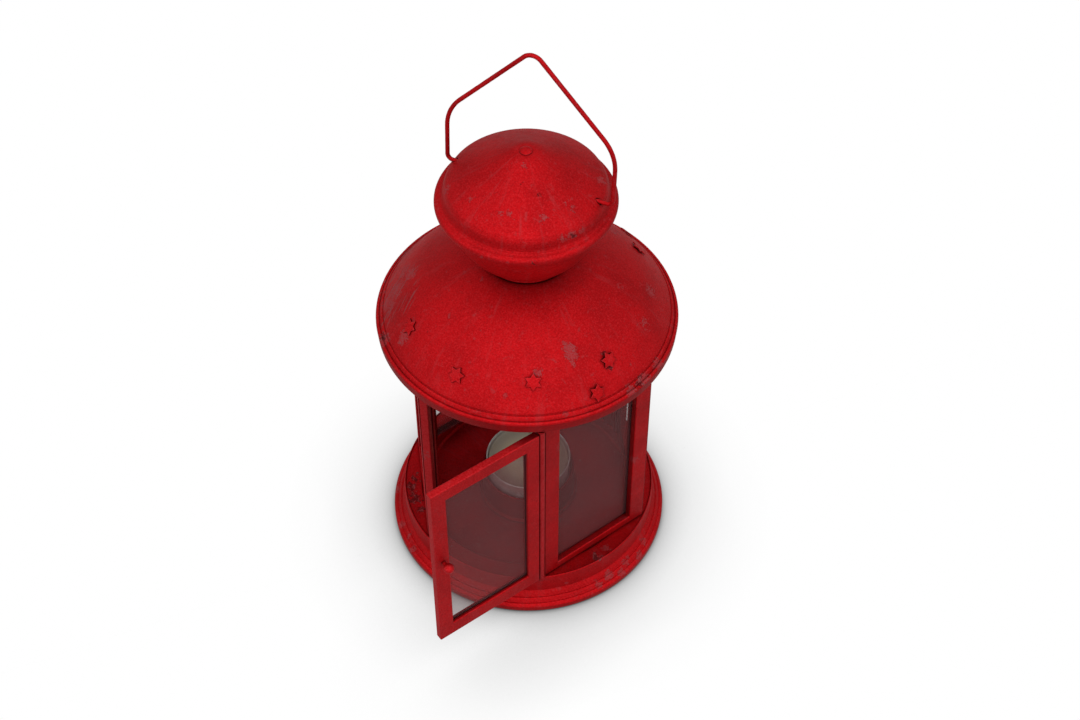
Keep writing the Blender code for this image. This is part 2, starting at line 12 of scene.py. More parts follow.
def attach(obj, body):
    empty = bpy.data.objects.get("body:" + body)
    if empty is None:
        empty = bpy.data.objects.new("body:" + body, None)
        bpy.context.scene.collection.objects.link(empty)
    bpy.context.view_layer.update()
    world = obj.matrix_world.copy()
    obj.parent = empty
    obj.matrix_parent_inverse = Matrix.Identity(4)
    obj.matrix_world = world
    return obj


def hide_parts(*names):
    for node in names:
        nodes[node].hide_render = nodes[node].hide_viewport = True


MM = 0.001

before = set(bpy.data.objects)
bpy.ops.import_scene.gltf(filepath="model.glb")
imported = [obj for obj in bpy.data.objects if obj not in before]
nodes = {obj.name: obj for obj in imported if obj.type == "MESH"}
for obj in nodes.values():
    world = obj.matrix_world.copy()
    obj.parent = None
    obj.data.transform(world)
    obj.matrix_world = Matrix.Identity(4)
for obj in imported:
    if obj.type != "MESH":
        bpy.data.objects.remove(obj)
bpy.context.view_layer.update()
scene = bpy.context.scene


# ---- shader helpers -----------------------------------------------------
BLACK = (0.0, 0.0, 0.0)
SCALAR_RESULTS = ("DISTANCE", "DOT_PRODUCT", "LENGTH")  # vector operations that give one number


class Tree:
    """Small helper that adds and links shader nodes."""

    def __init__(self, name):
        self.mat = bpy.data.materials.new(name)
        self.mat.use_nodes = True
        self.nodes = self.mat.node_tree.nodes
        self.links = self.mat.node_tree.links
        self.shader = self.nodes["Principled BSDF"]

    def put(self, socket, value):
        if isinstance(value, bpy.types.NodeSocket):
            self.links.new(value, socket)
        elif isinstance(value, (tuple, list)) and len(value) == 3 and socket.type == "RGBA":
            socket.default_value = (value[0], value[1], value[2], 1.0)
        else:
            socket.default_value = value

    def math(self, op, a, b=0.0, clamp=False):
        node = self.nodes.new("ShaderNodeMath")
        node.operation = op
        node.use_clamp = clamp
        self.put(node.inputs[0], a)
        self.put(node.inputs[1], b)
        return node.outputs[0]

    def vector(self, op, a, b):
        node = self.nodes.new("ShaderNodeVectorMath")
        node.operation = op
        self.put(node.inputs[0], a)
        if op == "SCALE":
            self.put(node.inputs["Scale"], b)
        else:
            self.put(node.inputs[1], b)
        return node.outputs["Value" if op in SCALAR_RESULTS else "Vector"]

    def combine(self, x, y, z):
        node = self.nodes.new("ShaderNodeCombineXYZ")
        for socket, value in zip(node.inputs, (x, y, z)):
            self.put(socket, value)
        return node.outputs[0]

    def noise(self, where, scale, detail=2.0, rough=0.5, distortion=0.0):
        node = self.nodes.new("ShaderNodeTexNoise")
        self.put(node.inputs["Vector"], where)
        node.inputs["Scale"].default_value = scale
        node.inputs["Detail"].default_value = detail
        node.inputs["Roughness"].default_value = rough
        node.inputs["Distortion"].default_value = distortion
        return node.outputs["Fac"]

    def voronoi(self, where, scale, feature="F1"):
        node = self.nodes.new("ShaderNodeTexVoronoi")
        node.feature = feature
        self.put(node.inputs["Vector"], where)
        node.inputs["Scale"].default_value = scale
        return node

    def step(self, value, low, high, to_low=0.0, to_high=1.0):
        """Smooth step of a value from one range to another."""
        node = self.nodes.new("ShaderNodeMapRange")
        node.interpolation_type = "SMOOTHSTEP"
        self.put(node.inputs["Value"], value)
        node.inputs["From Min"].default_value = low
        node.inputs["From Max"].default_value = high
        node.inputs["To Min"].default_value = to_low
        node.inputs["To Max"].default_value = to_high
        return node.outputs["Result"]

    def mix(self, factor, a, b):
        node = self.nodes.new("ShaderNodeMix")
        node.data_type = "RGBA"
        self.put(node.inputs["Factor"], factor)
        self.put(node.inputs[6], a)
        self.put(node.inputs[7], b)
        return node.outputs[2]

    def bump(self, height, strength, distance):
        node = self.nodes.new("ShaderNodeBump")
        node.inputs["Strength"].default_value = strength
        node.inputs["Distance"].default_value = distance
        self.put(node.inputs["Height"], height)
        self.links.new(node.outputs["Normal"], self.shader.inputs["Normal"])

    def set(self, socket, value):
        self.put(self.shader.inputs[socket], value)

    def place(self):
        """Position on the object, in millimetres."""
        coord = self.nodes.new("ShaderNodeTexCoord")
        return self.vector("SCALE", coord.outputs["Object"], 1000.0)


def azimuth(deg):
    """Plan direction at an angle from -Y towards +X."""
    a = math.radians(deg)
    return Vector((math.sin(a), -math.cos(a), 0.0))


# Worn places: (angle from -Y, distance from the axis, height, reach, strength), in degrees and millimetres.
ROOF_WEAR = [
    (-66.0, 56.0, 131.0, 4.4, 0.9), (-69.0, 52.0, 136.0, 6.4, 0.85), (-73.0, 46.5, 142.0, 5.4, 0.8),
    (-78.0, 50.0, 138.5, 4.4, 0.85), (-62.0, 54.0, 133.7, 3.4, 0.8),
    (-42.0, 53.5, 134.6, 3.6, 1.1), (-50.0, 59.2, 127.3, 4.0, 1.0),
    (45.0, 41.2, 146.0, 2.6, 1.3), (46.0, 43.8, 144.2, 2.8, 1.3), (45.6, 46.4, 142.2, 1.6, 1.1),
    (28.0, 47.2, 141.4, 2.0, 1.2), (90.0, 49.5, 139.0, 5.0, 0.6), (109.0, 49.0, 139.6, 4.5, 0.7),
    (82.0, 59.4, 127.0, 3.6, 1.0), (73.0, 59.4, 127.0, 3.2, 1.0), (65.0, 59.4, 127.0, 3.0, 1.0),
    (-97.0, 57.0, 130.0, 6.0, 0.9), (150.0, 44.0, 144.0, 5.0, 0.9), (-150.0, 52.0, 136.0, 6.0, 0.9),
]
ROOF_DIRT = [
    (70.0, 59.0, 127.6, 3.0, 0.9), (62.0, 50.8, 137.6, 2.4, 0.8), (61.0, 47.0, 141.0, 2.0, 0.8),
    (-51.0, 59.0, 127.6, 2.5, 0.9), (170.0, 58.0, 128.5, 4.0, 0.8),
]
CAP_WEAR = [
    (0.0, 23.4, 200.3, 1.3, 1.2), (8.0, 23.3, 200.4, 1.5, 1.2), (38.0, 24.4, 199.7, 1.5, 1.3),
    (22.0, 6.4, 210.1, 1.3, 1.2), (48.0, 31.0, 193.6, 1.8, 0.9), (56.0, 31.0, 193.6, 2.2, 1.0),
    (64.0, 31.0, 193.6, 1.8, 0.9), (66.0, 25.3, 199.1, 1.2, 1.1), (62.0, 22.6, 200.8, 1.0, 1.1),
    (-34.0, 24.5, 199.6, 1.3, 1.0), (-60.0, 30.0, 195.6, 2.2, 0.9), (170.0, 30.9, 194.0, 2.6, 0.9),
    (-140.0, 29.0, 196.5, 2.6, 0.9), (110.0, 28.0, 197.3, 2.6, 0.9),
]
CAP_DIRT = [
    (57.0, 31.2, 193.4, 1.6, 0.9), (16.0, 13.0, 206.4, 0.8, 1.0),
    (40.0, 17.0, 204.1, 0.9, 1.0), (27.0, 34.6, 188.2, 0.9, 1.0),
]
BASE_WEAR = [
    (54.0, 58.6, 4.8, 2.2, 1.0), (60.0, 57.4, 5.8, 2.8, 1.0),
    (66.0, 59.0, 4.2, 2.4, 1.1), (71.0, 57.8, 5.4, 2.6, 1.0),
    (78.0, 59.4, 3.6, 2.6, 1.0), (84.0, 58.0, 5.2, 2.2, 0.9),
    (-36.0, 59.6, 3.8, 2.6, 0.9), (-43.0, 58.0, 5.2, 2.2, 1.0),
    (-50.0, 59.2, 4.0, 2.6, 0.9), (-70.0, 59.4, 3.6, 2.6, 0.9),
    (140.0, 58.6, 4.8, 3.4, 1.0), (149.0, 59.4, 3.8, 2.8, 1.0),
    (-120.0, 58.6, 4.8, 3.0, 1.0), (-128.0, 59.4, 3.6, 2.4, 1.0),
    (57.0, 53.3, 16.7, 2.4, 0.9), (63.0, 51.5, 16.7, 2.6, 0.9),
]
BASE_DIRT = [
    (-46.0, 50.5, 16.7, 3.0, 0.8), (-54.0, 51.0, 16.7, 4.0, 0.9), (-61.0, 52.0, 16.7, 3.6, 0.8),
    (-67.0, 50.5, 16.7, 3.0, 0.7), (56.0, 52.6, 16.7, 2.6, 0.9), (160.0, 51.0, 16.7, 5.0, 0.8),
]
BODY_WEAR = [
    (41.0, 51.5, 79.0, 4.0, 0.9), (38.0, 52.0, 100.0, 4.0, 0.8), (83.0, 52.0, 60.0, 4.0, 0.8),
    (-31.0, 54.0, 75.0, 5.0, 0.8), (100.0, 52.0, 95.0, 5.0, 0.8), (205.0, 52.0, 40.0, 6.0, 0.9),
]
DOOR_WEAR = [
    (-22.0, 55.0, 96.0, 4.5, 1.0), (-23.0, 55.0, 82.0, 4.0, 0.9), (-24.0, 55.0, 58.0, 4.0, 0.8),
    (20.0, 53.0, 70.0, 4.0, 0.9), (12.0, 51.0, 24.0, 4.5, 0.8), (-8.0, 51.0, 113.0, 5.0, 0.8),
]


WEAR_SPREAD = 1.35  # how far a spot fades out, as a share of its reach
WEAR_BEND = 6.0     # how far the edge of a spot wanders, in millimetres


def wear_mask(t, where, places, ragged):
    """Largest of several soft spots with ragged edges."""
    bend = t.nodes.new("ShaderNodeTexNoise")
    t.put(bend.inputs["Vector"], where)
    bend.inputs["Scale"].default_value = 0.42
    bend.inputs["Detail"].default_value = 3.0
    bend.inputs["Roughness"].default_value = 0.7
    shift = t.vector("SUBTRACT", bend.outputs["Color"], (0.5, 0.5, 0.5))
    where = t.vector("ADD", where, t.vector("SCALE", shift, WEAR_BEND))
    result = None
    for angle, radius, height, reach, strength in places:
        p = azimuth(angle) * radius
        gap = t.vector("DISTANCE", where, (p.x, p.y, height))
        near = t.math("SUBTRACT", 1.0, t.math("DIVIDE", gap, reach * WEAR_SPREAD), clamp=True)
        spot = t.math("MULTIPLY", near, strength)
        result = spot if result is None else t.math("MAXIMUM", result, spot)
    return t.step(t.math("ADD", result, ragged), 0.42, 0.52)


def along(t, where, direction, squeeze):
    """Position squeezed along one direction, for brush marks and scratches."""
    d = Vector(direction).normalized()
    run = t.vector("DOT_PRODUCT", where, tuple(d))
    back = t.vector("SCALE", t.combine(d.x, d.y, d.z), t.math("MULTIPLY", run, squeeze))
    return t.vector("SUBTRACT", where, back)


AO_REACH = 0.05        # metres, the wide painted shade in hollow places
CREASE_REACH = 0.0016  # metres, the narrow painted shade in grooves
CREASE_DARK = 0.62     # tone of the painted shade at the bottom of a groove
SKIRT_SHADE = 0.74            # tone left by the painted shade on the roof's skirt
PAINT_METALLIC = 0.65  # it gives the sheen of the paint under soft light
PAINT_SPECULAR = 0.06


def red_paint(name, wear=(), dirt=(), shade=1.0, worn=1.0, scratches=False, ao_dark=0.36, skirt_shade_below=None):
    """Old red paint: clouding, fine speckle, streaks, rubbed pink-grey patches, chips, worn edges partly painted
    as highlight, and painted shade in recesses and grooves.
    """
    t = Tree(name)
    where = t.place()
    parts = t.nodes.new("ShaderNodeSeparateXYZ")
    t.links.new(where, parts.inputs[0])
    x, y, z = parts.outputs
    turn = t.math("ARCTAN2", y, x)
    radius = t.math("SQRT", t.math("ADD", t.math("MULTIPLY", x, x), t.math("MULTIPLY", y, y)))
    swept = t.combine(
        t.math("MULTIPLY", turn, 34.0), t.math("MULTIPLY", radius, 0.14), t.math("MULTIPLY", z, 0.14),
    )

    cloud = t.noise(where, 0.05, 3.0, 0.55)
    mottle = t.noise(where, 0.30, 5.0, 0.70, 0.5)
    grain = t.noise(where, 1.5, 3.0, 0.70)
    speck = t.noise(where, 2.8, 2.0, 0.6)
    streak = t.noise(swept, 0.34, 3.0, 0.60)

    # shade above one makes a lighter copy of the paint, painted light; below one a darker copy, painted shade.
    deep = (0.34 * shade, 0.0040 * shade, 0.0060 * shade)
    plain = (0.60 * shade, 0.0060 * shade, 0.0095 * shade)
    light = (0.66 * shade, 0.022 * shade, 0.028 * shade)
    rubbed = (0.47 * shade, 0.050 * shade, 0.058 * shade)
    bare = (0.34 * shade, 0.092 * shade, 0.098 * shade)
    pit = (0.11 * shade, 0.010 * shade, 0.011 * shade)

    colour = t.mix(t.step(cloud, 0.28, 0.62, 0.45, 1.0), deep, plain)
    colour = t.mix(t.step(grain, 0.50, 0.36, 0.0, 0.55), colour, deep)
    colour = t.mix(t.step(grain, 0.52, 0.66, 0.0, 0.60), colour, light)
    colour = t.mix(t.step(streak, 0.54, 0.76, 0.0, 0.32 * worn), colour, rubbed)
    colour = t.mix(t.step(mottle, 0.57, 0.72, 0.0, 0.55 * worn), colour, rubbed)
    colour = t.mix(t.step(speck, 0.60, 0.68, 0.0, 0.40), colour, rubbed)
    colour = t.mix(t.step(speck, 0.40, 0.32, 0.0, 0.45), colour, deep)

    # Small flaked chips, in a few of the cells only, and smaller dark pits.
    bent = t.vector("ADD", where, t.vector("SCALE", t.combine(mottle, grain, streak), 5.0))
    cells = t.voronoi(bent, 0.13)
    pick = t.nodes.new("ShaderNodeSeparateColor")
    t.links.new(cells.outputs["Color"], pick.inputs[0])
    size = t.step(pick.outputs[0], 0.62, 1.0, 0.0, 0.15)
    chip = t.step(t.math("SUBTRACT", size, cells.outputs["Distance"]), 0.0, 0.03)
    colour = t.mix(t.math("MULTIPLY", chip, 0.70 * worn), colour, rubbed)
    pits = t.voronoi(bent, 0.22)
    pick_pit = t.nodes.new("ShaderNodeSeparateColor")
    t.links.new(pits.outputs["Color"], pick_pit.inputs[0])
    pit_size = t.step(pick_pit.outputs[0], 0.70, 1.0, 0.0, 0.10)
    pit_mask = t.step(t.math("SUBTRACT", pit_size, pits.outputs["Distance"]), 0.0, 0.03)
    colour = t.mix(t.math("MULTIPLY", pit_mask, 0.75 * worn), colour, pit)

    # Places rubbed down to the undercoat, and dirty blotches.
    ragged = t.math("ADD", t.math("MULTIPLY", t.math("SUBTRACT", mottle, 0.5), 0.9),
                    t.math("MULTIPLY", t.math("SUBTRACT", grain, 0.5), 1.3))
    hollow = t.math("MAXIMUM", chip, pit_mask)
    if wear:
        grey = wear_mask(t, where, wear, ragged)
        grey_tone = t.mix(t.step(grain, 0.44, 0.62), rubbed, bare)
        speckled = t.step(speck, 0.36, 0.58, 0.30, 0.85 * worn)
        colour = t.mix(t.math("MULTIPLY", grey, speckled), colour, grey_tone)
        hollow = t.math("MAXIMUM", hollow, grey)
    if dirt:
        blotch = wear_mask(t, where, dirt, t.math("MULTIPLY", t.math("SUBTRACT", mottle, 0.5), 2.0))
        dirt_tone = t.mix(t.step(t.noise(where, 0.75, 4.0, 0.7), 0.50, 0.58), pit, bare)
        colour = t.mix(t.math("MULTIPLY", blotch, 0.75 * worn), colour, dirt_tone)
        hollow = t.math("MAXIMUM", hollow, blotch)
    if scratches:
        lines = t.noise(along(t, where, (0.16, 0.82, 0.55), 0.95), 0.85, 4.0, 0.7)
        zone = wear_mask(t, where, [(-66.0, 52.0, 136.0, 20.0, 1.0), (-75.0, 56.0, 131.0, 14.0, 1.0)], 0.0)
        line = t.math("MULTIPLY", t.step(lines, 0.54, 0.60), zone)
        colour = t.mix(t.math("MULTIPLY", line, 0.60), colour, bare)

    # Edges lighter: rubbed paint wear, and partly a painted highlight on convex edges.
    geometry = t.nodes.new("ShaderNodeNewGeometry")
    edge = t.math("MULTIPLY", t.step(geometry.outputs["Pointiness"], 0.52, 0.58), t.step(grain, 0.35, 0.60))
    colour = t.mix(t.math("MULTIPLY", edge, 0.45), colour, rubbed)
    # Recesses and grooves darkened: painted shade from ambient occlusion.
    hidden = t.nodes.new("ShaderNodeAmbientOcclusion")
    hidden.samples = 8
    hidden.inputs["Distance"].default_value = AO_REACH
    painted_hollow_shade = t.step(hidden.outputs["AO"], 0.10, 0.95, ao_dark, 1.0)
    colour = t.mix(painted_hollow_shade, BLACK, colour)
    crease = t.nodes.new("ShaderNodeAmbientOcclusion")
    crease.samples = 8
    crease.inputs["Distance"].default_value = CREASE_REACH
    painted_crease_shade = t.step(crease.outputs["AO"], 0.35, 0.96, CREASE_DARK, 1.0)
    colour = t.mix(painted_crease_shade, BLACK, colour)

    # The skirt of the roof is darkened: painted shade.
    if skirt_shade_below is not None:
        colour = t.mix(t.step(z, skirt_shade_below, skirt_shade_below + 0.8, SKIRT_SHADE, 1.0), BLACK, colour)

    t.set("Base Color", colour)
    rough = t.step(mottle, 0.35, 0.75, 0.46, 0.60)
    rough = t.math("ADD", rough, t.math("MULTIPLY", hollow, 0.16), clamp=True)
    t.set("Roughness", rough)
    t.set("Specular IOR Level", PAINT_SPECULAR)
    t.set("Metallic", PAINT_METALLIC)
    height = t.math("MULTIPLY", grain, 0.5)
    height = t.math("ADD", height, t.math("MULTIPLY", mottle, 0.8))
    height = t.math("SUBTRACT", height, t.math("MULTIPLY", hollow, 0.7))
    t.bump(height, 0.6, 0.00022)
    return t.mat


def dusty_glass(name):
    """Greyed old glass with dust and fine specks."""
    t = Tree(name)
    where = t.place()
    haze = t.noise(where, 0.05, 3.0, 0.6)
    dust = t.noise(where, 2.4, 2.0, 0.5)
    speck = t.step(dust, 0.70, 0.76)
    tone = t.mix(speck, (0.200, 0.070, 0.073), (0.34, 0.29, 0.28))
    t.set("Base Color", tone)
    t.set("Roughness", t.step(haze, 0.3, 0.7, 0.10, 0.28))
    t.set("Specular IOR Level", 0.10)
    cover = t.step(haze, 0.3, 0.7, 0.30, 0.36)
    t.set("Alpha", t.math("MAXIMUM", cover, t.math("MULTIPLY", speck, 0.85)))
    t.bump(haze, 0.10, 0.0004)
    return t.mat


def aluminium(name):
    """Dull, lightly stained pressed aluminium."""
    t = Tree(name)
    where = t.place()
    brushed = t.noise(t.vector("MULTIPLY", where, (0.3, 0.3, 3.0)), 0.9, 3.0, 0.6)
    stain = t.noise(where, 0.25, 3.0, 0.6)
    t.set("Base Color", t.mix(t.step(stain, 0.35, 0.7), (0.62, 0.60, 0.57), (0.80, 0.78, 0.75)))
    t.set("Metallic", 0.55)
    t.set("Roughness", t.step(brushed, 0.3, 0.7, 0.30, 0.52))
    t.bump(brushed, 0.25, 0.0001)
    return t.mat


def wax(name):
    """Cream wax, darker and greyer towards its edge."""
    t = Tree(name)
    where = t.place()
    cloud = t.noise(where, 0.16, 3.0, 0.55)
    fine = t.noise(where, 1.3, 3.0, 0.6)
    radius = t.vector("LENGTH", t.vector("MULTIPLY", where, (1.0, 1.0, 0.0)), BLACK)
    reach = t.math("ADD", radius, t.math("MULTIPLY", cloud, 3.0))
    cream = t.mix(t.step(cloud, 0.3, 0.7), (0.78, 0.70, 0.47), (0.90, 0.84, 0.62))
    t.set("Base Color", t.mix(t.step(reach, 8.0, 17.5, 0.0, 0.85), cream, (0.40, 0.35, 0.28)))
    t.set("Roughness", t.step(fine, 0.3, 0.7, 0.35, 0.55))
    t.set("Subsurface Weight", 0.25)
    t.set("Subsurface Radius", (0.006, 0.004, 0.002))
    t.set("Subsurface Scale", 1.0)
    t.bump(t.math("ADD", cloud, t.math("MULTIPLY", fine, 0.3)), 0.3, 0.0003)
    return t.mat


def wick_fibre(name):
    """Charred, twisted wick."""
    t = Tree(name)
    where = t.place()
    twist = t.noise(t.vector("MULTIPLY", where, (2.0, 2.0, 5.0)), 1.2, 3.0, 0.6)
    t.set("Base Color", t.mix(t.step(twist, 0.35, 0.7), (0.02, 0.017, 0.015), (0.22, 0.18, 0.13)))
    t.set("Roughness", t.step(twist, 0.3, 0.7, 0.8, 0.95))
    t.bump(twist, 0.6, 0.0002)
    return t.mat


paint = red_paint("red_paint_body", BODY_WEAR)
paint_roof = red_paint("red_paint_roof", ROOF_WEAR, ROOF_DIRT, scratches=True, skirt_shade_below=125.6)
paint_cap = red_paint("red_paint_cap", CAP_WEAR, CAP_DIRT)
paint_base = red_paint("red_paint_base", BASE_WEAR, BASE_DIRT, ao_dark=0.62)
# The door's paint is a lighter copy of the red paint: painted light.
paint_door_lit = red_paint("red_paint_door_lit", DOOR_WEAR, shade=1.12)
# The stars' paint is a lighter copy of the red paint: painted light.
paint_star_lit = red_paint("red_paint_stars_lit", shade=1.06, worn=0.6)
# The paint of the inner pieces is a darker copy of the red paint: painted shade.
paint_inner_shaded = red_paint("red_paint_inside_shaded", shade=0.85, worn=0.5)
# The underside's paint is a much darker copy of the red paint: painted shade.
under = red_paint("dark_underside", shade=0.30, worn=0.6)
glass = dusty_glass("dusty_glass")
metal = aluminium("cup_aluminium")
wax_mat = wax("cream_wax")
wick_mat = wick_fibre("wick_fibre")


# ---- mesh helpers -------------------------------------------------------
def eased(points, steps):
    """Catmull-Rom curve through the points."""
    out = []
    n = len(points)
    for k in range(n - 1):
        p0 = Vector(points[max(k - 1, 0)])
        p1 = Vector(points[k])
        p2 = Vector(points[k + 1])
        p3 = Vector(points[min(k + 2, n - 1)])
        for i in range(steps):
            f = i / steps
            p = 0.5 * (2.0 * p1 + (p2 - p0) * f + (2.0 * p0 - 5.0 * p1 + 4.0 * p2 - p3) * f * f
                       + (3.0 * p1 - p0 - 3.0 * p2 + p3) * f * f * f)
            out.append((p.x, p.y))
    out.append(tuple(points[-1]))
    return out


def filleted(points, radius, steps=3):
    """Closed (radius, height) outline with its sharp corners rounded."""
    out = []
    n = len(points)
    for k in range(n):
        p = Vector(points[k])
        a = Vector(points[(k - 1) % n]) - p
        b = Vector(points[(k + 1) % n]) - p
        if p.x < 1e-4 or a.length < 1e-6 or b.length < 1e-6:
            out.append((p.x, p.y))
            continue
        bend = math.pi - a.angle(b)
        if bend < math.radians(22.0):
            out.append((p.x, p.y))
            continue
        reach = min(radius * math.tan(bend / 2.0), 0.42 * a.length, 0.42 * b.length)
        start = p + a.normalized() * reach
        end = p + b.normalized() * reach
        for i in range(steps + 1):
            f = i / steps
            q = start * (1 - f) ** 2 + p * 2 * f * (1 - f) + end * f * f
            out.append((q.x, q.y))
    return out


def new_object(name, bm, mat, smooth_angle=32.0):
    """Smooth-shaded object from a bmesh, with edges over the angle kept sharp."""
    bmesh.ops.remove_doubles(bm, verts=bm.verts, dist=1e-7)
    bmesh.ops.recalc_face_normals(bm, faces=bm.faces)
    mesh = bpy.data.meshes.new(name)
    bm.to_mesh(mesh)
    bm.free()
    for poly in mesh.polygons:
        poly.use_smooth = True
    mesh.set_sharp_from_angle(angle=math.radians(smooth_angle))
    obj = bpy.data.objects.new(name, mesh)
    scene.collection.objects.link(obj)
    mesh.materials.append(mat)
    return obj


def turned(profile, segs, wobble=0.0, seed=1):
    """Turn a closed outline about the upright axis. Wobble is a slight hand-worn unevenness in mm."""
    rng = random.Random(seed)
    phases = [(k, rng.uniform(0, 2 * math.pi), rng.uniform(0.4, 1.0) / k) for k in (2, 3, 5, 8, 13)]
    bm = bmesh.new()
    rings = []
    for r, z in profile:
        if r < 1e-5:
            rings.append([bm.verts.new((0.0, 0.0, z * MM))])
            continue
        ring = []
        for i in range(segs):
            a = 2.0 * math.pi * i / segs
            off = wobble * sum(w * math.sin(k * a + p + z * 0.05) for k, p, w in phases)
            rr = r + off * min(1.0, r / 20.0)
            ring.append(bm.verts.new((rr * math.cos(a) * MM, rr * math.sin(a) * MM, z * MM)))
        rings.append(ring)
    count = len(rings)
    for k in range(count):
        a = rings[k]
        b = rings[(k + 1) % count]
        if len(a) == 1 and len(b) == 1:
            continue
        for i in range(segs):
            j = (i + 1) % segs
            if len(a) == 1:
                bm.faces.new((a[0], b[i], b[j]))
            elif len(b) == 1:
                bm.faces.new((a[i], a[j], b[0]))
            else:
                bm.faces.new((a[i], a[j], b[j], b[i]))
    return bm


def ride(obj, body, slot, *replaced):
    """Put a piece on its body, in place of the CAD nodes it stands for; the slot is not used."""
    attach(obj, body)
    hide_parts(*replaced)


SEGS = 192

# ---- base tray ----------------------------------------------------------
BASE_R = 60.5
RING_R = 55.3
LEDGE_IN = 46.9
LEDGE_Z = 16.7
FLOOR_Z = 11.0
tray_outer = [
    (BASE_R - 0.3, 0.0), (BASE_R, 0.5), (BASE_R, 2.6), (BASE_R - 0.45, 3.3),
    (59.25, 3.95), (58.75, 3.85), (58.2, 4.9), (57.45, 5.75), (56.95, 5.6), (56.5, 6.5), (55.9, 7.4),
    (RING_R, 8.2), (RING_R - 0.05, 16.9), (RING_R - 0.35, 17.45), (RING_R - 0.7, 17.15), (RING_R - 0.85, LEDGE_Z),
    (LEDGE_IN + 0.8, LEDGE_Z), (LEDGE_IN, LEDGE_Z - 0.6), (LEDGE_IN - 0.6, FLOOR_Z + 0.8),
    (LEDGE_IN - 1.6, FLOOR_Z), (0.0, FLOOR_Z),
]
tray_inner = [
    (0.0, FLOOR_Z - 1.1), (LEDGE_IN - 0.9, FLOOR_Z - 1.1), (LEDGE_IN + 0.6, FLOOR_Z + 0.4),
    (LEDGE_IN + 1.2, LEDGE_Z - 1.1), (RING_R - 1.1, LEDGE_Z - 1.1),
    (RING_R - 1.1, 7.6), (56.6, 4.6), (BASE_R - 1.2, 2.6), (BASE_R - 1.2, 0.0),
]
tray = new_object("base_tray_pressed", turned(filleted(tray_outer + tray_inner, 0.45), SEGS), paint_base)
ride(tray, "lantern", "red_paint", "base_tray")

# ---- candle holder and tealight ----------------------------------------
CUP_R = 20.2
CUP_RIM = 25.8
CUP_FLOOR = 16.9
cup_profile = [
    (0.0, FLOOR_Z + 0.2), (CUP_R + 1.6, FLOOR_Z + 0.2), (CUP_R + 1.5, FLOOR_Z + 0.7),
    (CUP_R + 0.5, FLOOR_Z + 1.2), (CUP_R + 0.1, FLOOR_Z + 2.2), (CUP_R, CUP_RIM - 0.7),
    (CUP_R - 0.15, CUP_RIM - 0.1), (CUP_R - 0.55, CUP_RIM), (CUP_R - 0.95, CUP_RIM - 0.2),
    (CUP_R - 1.1, CUP_RIM - 0.8), (CUP_R - 1.1, CUP_FLOOR), (0.0, CUP_FLOOR),
]
holder = new_object("candle_holder", turned(filleted(cup_profile, 0.4), 128, 0.05, 3), paint_inner_shaded)
ride(holder, "lantern", "red_paint", "candle_cup")

TEA_R = 18.2
TEA_Z0 = 17.1
TEA_TOP = TEA_Z0 + 15.2
shell_profile = [
    (0.0, TEA_Z0), (TEA_R - 0.9, TEA_Z0), (TEA_R - 0.2, TEA_Z0 + 0.7), (TEA_R - 0.02, TEA_TOP - 0.9),
    (TEA_R + 0.28, TEA_TOP - 0.6), (TEA_R + 0.34, TEA_TOP - 0.25), (TEA_R + 0.12, TEA_TOP),
    (TEA_R - 0.22, TEA_TOP - 0.08), (TEA_R - 0.35, TEA_TOP - 0.5), (TEA_R - 0.55, TEA_Z0 + 0.8),
    (0.0, TEA_Z0 + 0.8),
]
shell = new_object("tealight_shell", turned(filleted(shell_profile, 0.2), 128, 0.05, 5), metal)
ride(shell, "tealight", "cup_aluminium", "tealight_cup")
WAX_R = TEA_R - 0.75
wax_top = [
    (WAX_R, TEA_TOP - 1.1), (WAX_R - 0.5, TEA_TOP - 1.7), (WAX_R - 1.6, TEA_TOP - 2.0),
    (WAX_R - 6.0, TEA_TOP - 2.1),
    (6.0, TEA_TOP - 2.2), (3.0, TEA_TOP - 2.45), (1.2, TEA_TOP - 2.5), (0.0, TEA_TOP - 2.3),
]
wax_profile = [(0.0, TEA_Z0 + 1.0), (WAX_R, TEA_Z0 + 1.0)] + eased(wax_top, 4)
wax_piece = new_object("wax_fill", turned(wax_profile, 96, 0.0, 7), wax_mat)
ride(wax_piece, "tealight", "cream_wax", "tealight_wax")


def tube(path, radii, sides, flat=None):
    """Round wire along a path; flat keeps the ring's first axis steady."""
    bm = bmesh.new()
    rings = []
    n = len(path)
    for k in range(n):
        ahead = (path[min(k + 1, n - 1)] - path[max(k - 1, 0)]).normalized()
        side = Vector(flat) if flat else ahead.orthogonal().normalized()
        up = side.cross(ahead).normalized()
        ring = []
        for i in range(sides):
            a = 2.0 * math.pi * i / sides
            p = path[k] + (side * math.cos(a) + up * math.sin(a)) * radii[k]
            ring.append(bm.verts.new(p * MM))
        rings.append(ring)
    for k in range(n - 1):
        for i in range(sides):
            j = (i + 1) % sides
            bm.faces.new((rings[k][i], rings[k][j], rings[k + 1][j], rings[k + 1][i]))
    bm.faces.new(rings[0])
    bm.faces.new(rings[-1])
    return bm


wick_low = TEA_TOP - 2.4
wick_steps = (0.0, 0.2, 0.4, 0.6, 0.8, 0.93, 1.0)
wick_path = [Vector((0.25 * f * f, -0.15 * f, wick_low + 4.9 * f)) for f in wick_steps]
wick_radii = [0.62, 0.56, 0.60, 0.52, 0.55, 0.42, 0.22]
wick = new_object("wick_stub", tube(wick_path, wick_radii, 16, (0, 1, 0)), wick_mat)
ride(wick, "tealight", "wick", "tealight_wick")

